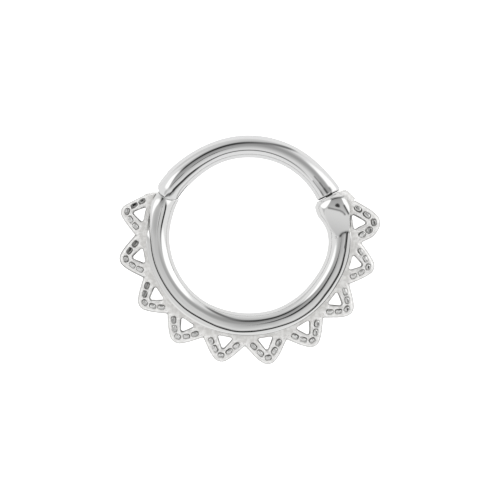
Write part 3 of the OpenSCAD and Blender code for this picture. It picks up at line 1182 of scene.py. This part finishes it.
def triangle_loops():
    """The loops of a triangle, as lists of (x, y, z, wear with shade, painted shade, shade along the
    outline).
    """
    border = outline()
    rim = [hole_edge((p - HOLE_MIDDLE).normalized()) for p, _ in border]
    loops = [[(q.x, q.y, z, *HOLE_WALL) for q in rim] for z in (0.0, 0.2)]
    for share in SPREAD:
        loop = []
        for q, (p, edge) in zip(rim, border):
            here = q.lerp(p, share)
            z, wear_with_shade, hollow_shade, outline_shade = relief(here)
            z -= rounded_drop(max(0.0, from_hole(here)))
            if edge:
                z -= rounded_drop((1 - share) * (p - q).length * EDGE_REACH)
            loop.append((here.x, here.y, z, wear_with_shade, hollow_shade, outline_shade))
        loops.append(loop)
    for out, z in OUTER_WALL:
        # The outer wall: some wear, and painted shade along the outline.
        loops.append([(p.x, p.y, z, 0.6, 0, 0.3 if edge else 0.0) for p, edge in outline(out)])
    for share in (0.98, 0.93, 0.85, 0.6, 0.3, 0.1, 0.03, 0.0):
        loop = []
        for q, (p, edge) in zip(rim, border):
            here = q.lerp(p, share)
            drop = rounded_drop((1 - share) * (p - q).length * EDGE_REACH) if edge else 0.0
            drop += rounded_drop(max(0.0, from_hole(here)))
            loop.append((here.x, here.y, BACK + drop, 0.5, 0, 0))
        loops.append(loop)
    loops.append([(q.x, q.y, -0.2, *HOLE_WALL) for q in rim])
    return loops


LOOPS = triangle_loops()
print("loops of a triangle:", len(LOOPS), "of", len(LOOPS[0]), "points")

# %% [markdown]
# No two triangles of a casting are quite alike. Each one is stretched or shortened at its tip by a few
# hundredths of a millimetre, as measured on the real ring, before it is turned to its place. The first one
# is cut lower beside the hinge, and the last one leans towards the clasp. Some have a darker line of painted
# shade along the outline. Neighbours share the points on the line between them, so the ten weld into one
# body.

# %% Placing the triangles
TIP_STRETCH = [-0.12, -0.07, -0.1, -0.07, -0.03, 0.04, -0.04, -0.07, -0.11, 0.06]
# How strong each triangle's painted shade along the outline is.
OUTLINE_SHADE = [1.3, 2.4, 1.4, 1, 1, 1, 1, 1, 1, 1]


def on_ring(x, y, z, tooth):
    """A point of a triangle's own frame, at its place on the real, slightly uneven ring."""
    aside = math.atan2(x, y + RING_R) / HALF
    y += TIP_STRETCH[tooth] * step_up(y, 1.0, 2.0)
    if tooth == 0 and aside > 0:
        y = ROOT_Y + (y - ROOT_Y) * (1 - 0.33 * aside ** 1.5)
        x = (y + RING_R) * math.tan(aside * HALF)
    if tooth == TEETH - 1:
        x += (0.14 + 0.09 * x) * step_up(y, 0.9, 1.8) * (1 - aside ** 4)
    a = FIRST_TOOTH + PITCH * tooth - math.degrees(math.atan2(x, y + RING_R))
    r = math.hypot(x, y + RING_R) - RING_R + smooth_value(LINE, a)
    return polar(r, a, z)


def build_triangle(tooth):
    bm = bmesh.new()
    wear_and_shade = bm.verts.layers.float.new("wear_and_shade")
    painted_dark = bm.verts.layers.float.new("painted_dark")
    loop = bmesh.ops.create_circle(bm, segments=len(LOOPS[0]), radius=1)["verts"]
    for row in [*LOOPS, LOOPS[0]]:
        places = [on_ring(*point[:3], tooth) for point in row]
        if row is LOOPS[0] and not loop[0][wear_and_shade]:
            for vert, place in zip(loop, places):
                vert.co = place
        else:
            loop = next_loop(bm, loop, places)
        for vert, (_, _, _, wear_with_shade, hollow_shade, outline_shade) in zip(loop, row):
            # Wear with shade, and painted shade in pockets, at the hole and along the outline, made patchy by
            # noise.
            patchy = 0.85 + 1.2 * noise.noise(vert.co * 4)
            vert[wear_and_shade] = wear_with_shade
            vert[painted_dark] = max(hollow_shade * patchy, outline_shade * OUTLINE_SHADE[tooth])
    side = FIRST_TOOTH + PITCH * tooth
    ends = [v for v in bm.verts if abs(abs(ring_angle(v.co, 150) - side) - PITCH / 2) < 1e-3]
    inner = [f for f in bm.faces if all(v in ends for v in f.verts)]
    bmesh.ops.delete(bm, geom=inner, context="FACES_ONLY")
    bmesh.ops.remove_doubles(bm, verts=bm.verts[:], dist=1e-4)
    return to_mesh(bm, "triangle")


print("turn of the last triangle:", FIRST_TOOTH + PITCH * (TEETH - 1), "degrees")

# %% [markdown]
# Both ends of the flange are drawn out into the tube, the wide one as a skirt round the bud. Row by row, the
# open end is extruded to an angle and an outer radius, gets lower on its outer side, and is closed at last.

# %% The whole sunburst
SKIRT = [
    # angle, outer radius
    (379, 6.09), (380, 6.055), (381, 6.005), (382, 5.965), (383, 5.91), (384, 5.865), (385, 5.78),
    (385.5, 5.7),
]
HINGE_END = [(157.6, 5.9), (157.2, 5.84), (156.8, 5.78), (156.4, 5.73), (156.1, 5.68)]


def draw_out(bm, from_angle, rows, slope, wear_and_shade):
    loop = open_loop_at(bm, lambda v: abs(ring_angle(v.co, 150) - from_angle) < 1e-3)
    middle = smooth_value(LINE, from_angle)
    shares = [(v.co.xy.length - middle - ROOT_Y) for v in loop]
    widest = max(shares)
    heights = [v.co.z for v in loop]
    for i, (a, r) in enumerate(rows):
        middle = smooth_value(LINE, a)
        width = (r - middle - ROOT_Y) / widest
        down = slope * (i + 1) / len(rows)
        places = []
        for share, z in zip(shares, heights):
            fall = down * max(0.0, share / widest) ** 1.5
            places.append(polar(middle + ROOT_Y + share * width, a, z * (1 - fall)))
        loop = next_loop(bm, loop, places)
        for vert in loop:
            vert[wear_and_shade] = min(1.0, 0.4 + 0.25 * (i + 1))
    fill_loop(bm, loop)


def build_sunburst():
    bm = bmesh.new()
    wear_and_shade = bm.verts.layers.float.new("wear_and_shade")
    bm.verts.layers.float.new("painted_dark")
    for tooth in range(TEETH):
        bm.from_mesh(build_triangle(tooth))
    bmesh.ops.remove_doubles(bm, verts=bm.verts[:], dist=1e-3)
    draw_out(bm, FIRST_TOOTH + PITCH * (TEETH - 0.5), SKIRT, 0.35, wear_and_shade)
    draw_out(bm, FIRST_TOOTH - PITCH / 2, HINGE_END, 0.5, wear_and_shade)
    return bm


make_piece("sunburst", build_sunburst(), satin_finish, "ring", "ring_body", sharp=60)

# %% [markdown]
# ## The pebbles
#
# Five pebbles sit in the pockets of each triangle: two on either leg and one at the tip. In the wax they
# were small drops pressed flat, so each one is a ball that is pulled long, flattened on top and bent out of
# true by smooth noise. They lean outwards a little. Each is lighter and smoother on top and darker low down,
# which is painted shade, and some have a painted dark reflection in the middle of the top. The random
# numbers have a fixed seed, so they are the same each time.

# %% Pebbles
DARK_TOP_REFLECTION = {
    # triangle and pebble: how dark the painted reflection in its middle is
    (0, 0): 0.7, (0, 1): 0.95, (0, 2): 0.6, (1, 0): 0.95, (1, 1): 0.95, (1, 2): 0.4, (2, 0): 0.85,
    (2, 1): 0.75, (2, 2): 0.3, (3, 0): 0.5, (3, 1): 0.25, (3, 4): 0.3, (5, 0): 0.3, (5, 4): 0.35,
    (9, 1): 0.5, (9, 2): 0.5,
}
FAINT_TOP_REFLECTION = 0.1
PLAN_SQUARE, SIDE_SQUARE = 2.7, 4.5
PEBBLE_Z = 0.235


def build_pebble(chance, long_way, wide, top_reflection):
    bm = bmesh.new()
    bmesh.ops.create_icosphere(bm, subdivisions=4, radius=1)
    wear_and_shade = bm.verts.layers.float.new("wear_and_shade")
    painted_dark = bm.verts.layers.float.new("painted_dark")
    high = chance.uniform(0.165, 0.18)
    seed = Vector((chance.uniform(0, 50), chance.uniform(0, 50), 0))
    for vert in bm.verts:
        co = vert.co.copy()
        level = (abs(co.x) ** PLAN_SQUARE + abs(co.y) ** PLAN_SQUARE) ** (1 / PLAN_SQUARE)
        k = (level ** SIDE_SQUARE + abs(co.z) ** SIDE_SQUARE) ** (-1 / SIDE_SQUARE)
        bend = 1 + 0.12 * noise.noise(co * 0.9 + seed)
        # Lighter and smoother on top, darker low down: wear and painted shade.
        vert[wear_and_shade] = step_up(co.z * k, 0.45, 0.95)
        # A painted dark reflection in the middle of the top.
        vert[painted_dark] = top_reflection * math.exp(-((co.y / 0.75) ** 4) - co.x ** 6)
        vert.co = Vector((co.x * k * bend * long_way, co.y * k * bend * wide, co.z * k * high))
    return bm


def build_pebbles():
    chance = random.Random(7)
    bm = bmesh.new()
    for tooth in range(TEETH):
        for which, (x, y, axis, long_way, wide) in enumerate(PEBBLES):
            long_way *= chance.uniform(0.93, 1.05)
            wide *= chance.uniform(0.93, 1.05)
            one = build_pebble(chance, long_way, wide, DARK_TOP_REFLECTION.get((tooth, which), FAINT_TOP_REFLECTION))
            own = Matrix.Rotation(math.radians(axis + chance.uniform(-6, 6)), 4, "Z")
            own = own @ Matrix.Rotation(math.radians(chance.uniform(-17, -11)), 4, "X")
            own = own @ Matrix.Rotation(math.radians(chance.uniform(-4, 4)), 4, "Y")
            bmesh.ops.transform(one, matrix=own, verts=one.verts[:])
            dx, dy = x + chance.uniform(-0.012, 0.012), y + chance.uniform(-0.012, 0.012)
            at = on_ring(dx, dy, PEBBLE_Z, tooth)
            facing = Matrix.Rotation(math.radians(FIRST_TOOTH + PITCH * tooth - 90), 4, "Z")
            bmesh.ops.transform(one, matrix=Matrix.Translation(at) @ facing, verts=one.verts[:])
            bm.from_mesh(to_mesh(one, "pebble"))
    return bm


make_piece("pebbles", build_pebbles(), pebble_finish, "ring", "ring_body")
